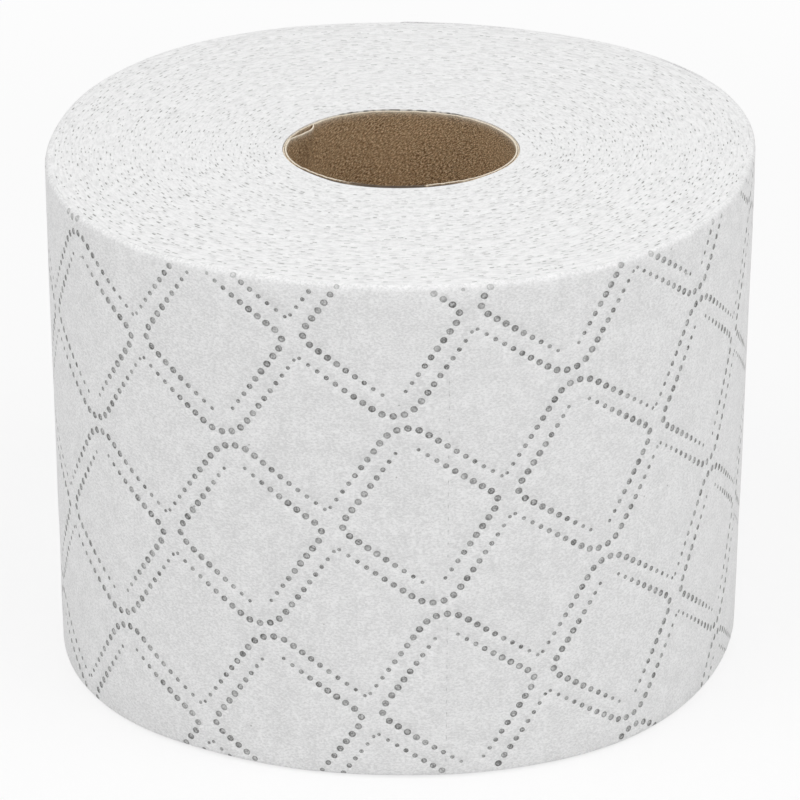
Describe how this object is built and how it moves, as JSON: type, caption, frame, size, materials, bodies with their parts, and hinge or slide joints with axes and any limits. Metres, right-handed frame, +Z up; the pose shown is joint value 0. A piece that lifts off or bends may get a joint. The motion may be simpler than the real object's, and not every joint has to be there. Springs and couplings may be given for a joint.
{
  "type": "toilet paper roll",
  "caption": "White embossed toilet paper wound on an open cardboard core, standing on one sawn end, with soft shoulders and a glued tail.",
  "frame": {"origin": "on the axis of the winding, at the lower sawn end that the roll stands on", "axes": "+Z up the axis of the core; -Y faces the viewer of the picture; the glued tail of the sheet is behind, at +Y"},
  "size_m": [0.1299, 0.13, 0.096],
  "materials": {
    "tissue": "soft matt white tissue, embossed with dots, fine turns on the sawn ends",
    "core_board": "matt brown board with diagonal fibres and a spiral seam"
  },
  "bodies": {
    "root": {"paper_roll": "tissue", "core_tube": "core_board"}
  },
  "joints": []
}
